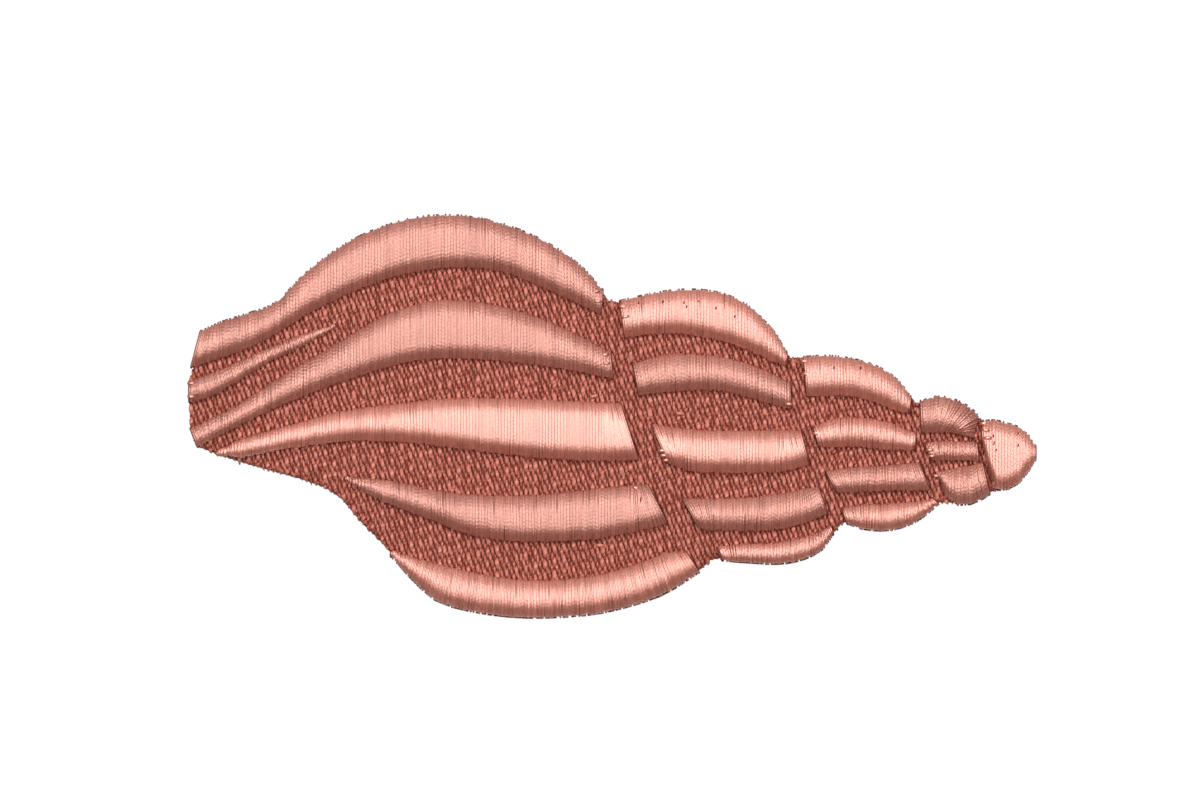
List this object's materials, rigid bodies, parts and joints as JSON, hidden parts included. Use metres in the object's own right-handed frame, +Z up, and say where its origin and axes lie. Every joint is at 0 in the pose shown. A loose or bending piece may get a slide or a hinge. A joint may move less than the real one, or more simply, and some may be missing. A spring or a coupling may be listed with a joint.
{
  "type": "embroidered sea shell patch",
  "caption": "Flat machine-embroidered patch in the shape of a long spiral sea shell, with raised satin ribs over a darker tatami fill.",
  "frame": {"origin": "on the resting plane, under the middle of the patch's plan outline", "axes": "+X along the shell from its siphon end to its apex, +Y across it towards the crest side, +Z up out of the stitched face"},
  "size_m": [0.1268, 0.0603, 0.0037],
  "materials": {
    "ground_cloth": "matt white woven ground cloth",
    "fill_thread": "terracotta embroidery thread with a soft sheen, stitched flat in offset rows",
    "satin_thread": "glossy salmon embroidery thread, laid side by side in satin stitch"
  },
  "bodies": {
    "root": {"ground_cloth": "ground_cloth", "tatami_fill": "fill_thread", "body_crest_rib": "satin_thread", "siphon_rib": "satin_thread", "body_shoulder_rib": "satin_thread", "body_middle_rib": "satin_thread", "body_lower_rib": "satin_thread", "body_base_rib": "satin_thread", "second_crest_rib": "satin_thread", "second_shoulder_rib": "satin_thread", "second_middle_rib": "satin_thread", "second_lower_rib": "satin_thread", "second_base_rib": "satin_thread", "third_crest_rib": "satin_thread", "third_shoulder_rib": "satin_thread", "third_lower_rib": "satin_thread", "third_base_rib": "satin_thread", "fourth_crest_rib": "satin_thread", "fourth_middle_rib": "satin_thread", "fourth_base_rib": "satin_thread", "apex_tip": "satin_thread"}
  },
  "joints": []
}
